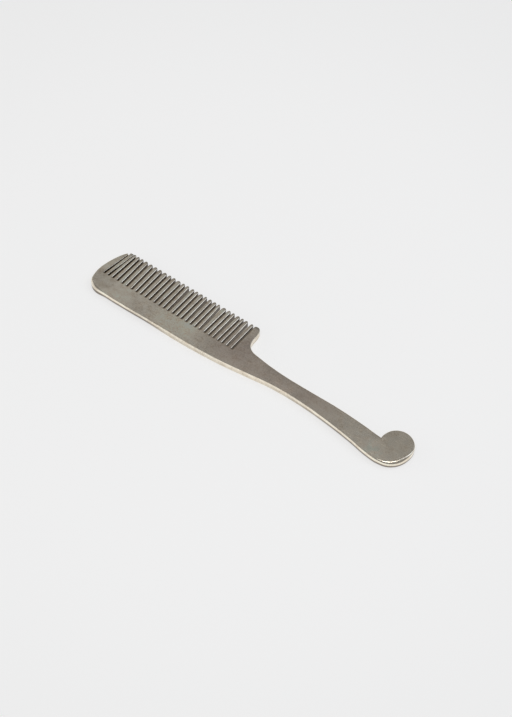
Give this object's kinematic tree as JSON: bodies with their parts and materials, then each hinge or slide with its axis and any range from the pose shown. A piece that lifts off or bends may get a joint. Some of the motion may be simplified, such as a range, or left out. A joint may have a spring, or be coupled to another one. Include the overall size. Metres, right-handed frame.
{
  "type": "grooming comb",
  "caption": "Flat one-piece steel comb with fine straight teeth between two end guards, a slim curved handle and a round disc at its end.",
  "frame": {"origin": "middle of the comb's bounding box, on the plane of its underside", "axes": "+X along the comb from its rounded front end to the end disc, +Y across it towards the tooth tips, +Z out of its upper face"},
  "size_m": [0.1102, 0.0222, 0.0023],
  "materials": {
    "body_steel": "worn satin, warm grey, with fine scratches and light tarnish",
    "tooth_steel": "worn satin, darker and browner on the sawn slot walls"
  },
  "bodies": {
    "root": {"comb_back": "body_steel", "front_guard": "body_steel", "rear_guard": "body_steel", "neck": "body_steel", "handle": "body_steel", "end_disc": "body_steel", "tooth_01": "tooth_steel", "tooth_02": "tooth_steel", "tooth_03": "tooth_steel", "tooth_04": "tooth_steel", "tooth_05": "tooth_steel", "tooth_06": "tooth_steel", "tooth_07": "tooth_steel", "tooth_08": "tooth_steel", "tooth_09": "tooth_steel", "tooth_10": "tooth_steel", "tooth_11": "tooth_steel", "tooth_12": "tooth_steel", "tooth_13": "tooth_steel", "tooth_14": "tooth_steel", "tooth_15": "tooth_steel", "tooth_16": "tooth_steel", "tooth_17": "tooth_steel", "tooth_18": "tooth_steel", "tooth_19": "tooth_steel", "tooth_20": "tooth_steel", "tooth_21": "tooth_steel", "tooth_22": "tooth_steel", "tooth_23": "tooth_steel", "tooth_24": "tooth_steel", "tooth_25": "tooth_steel", "tooth_26": "tooth_steel", "tooth_27": "tooth_steel", "tooth_28": "tooth_steel"}
  },
  "joints": []
}
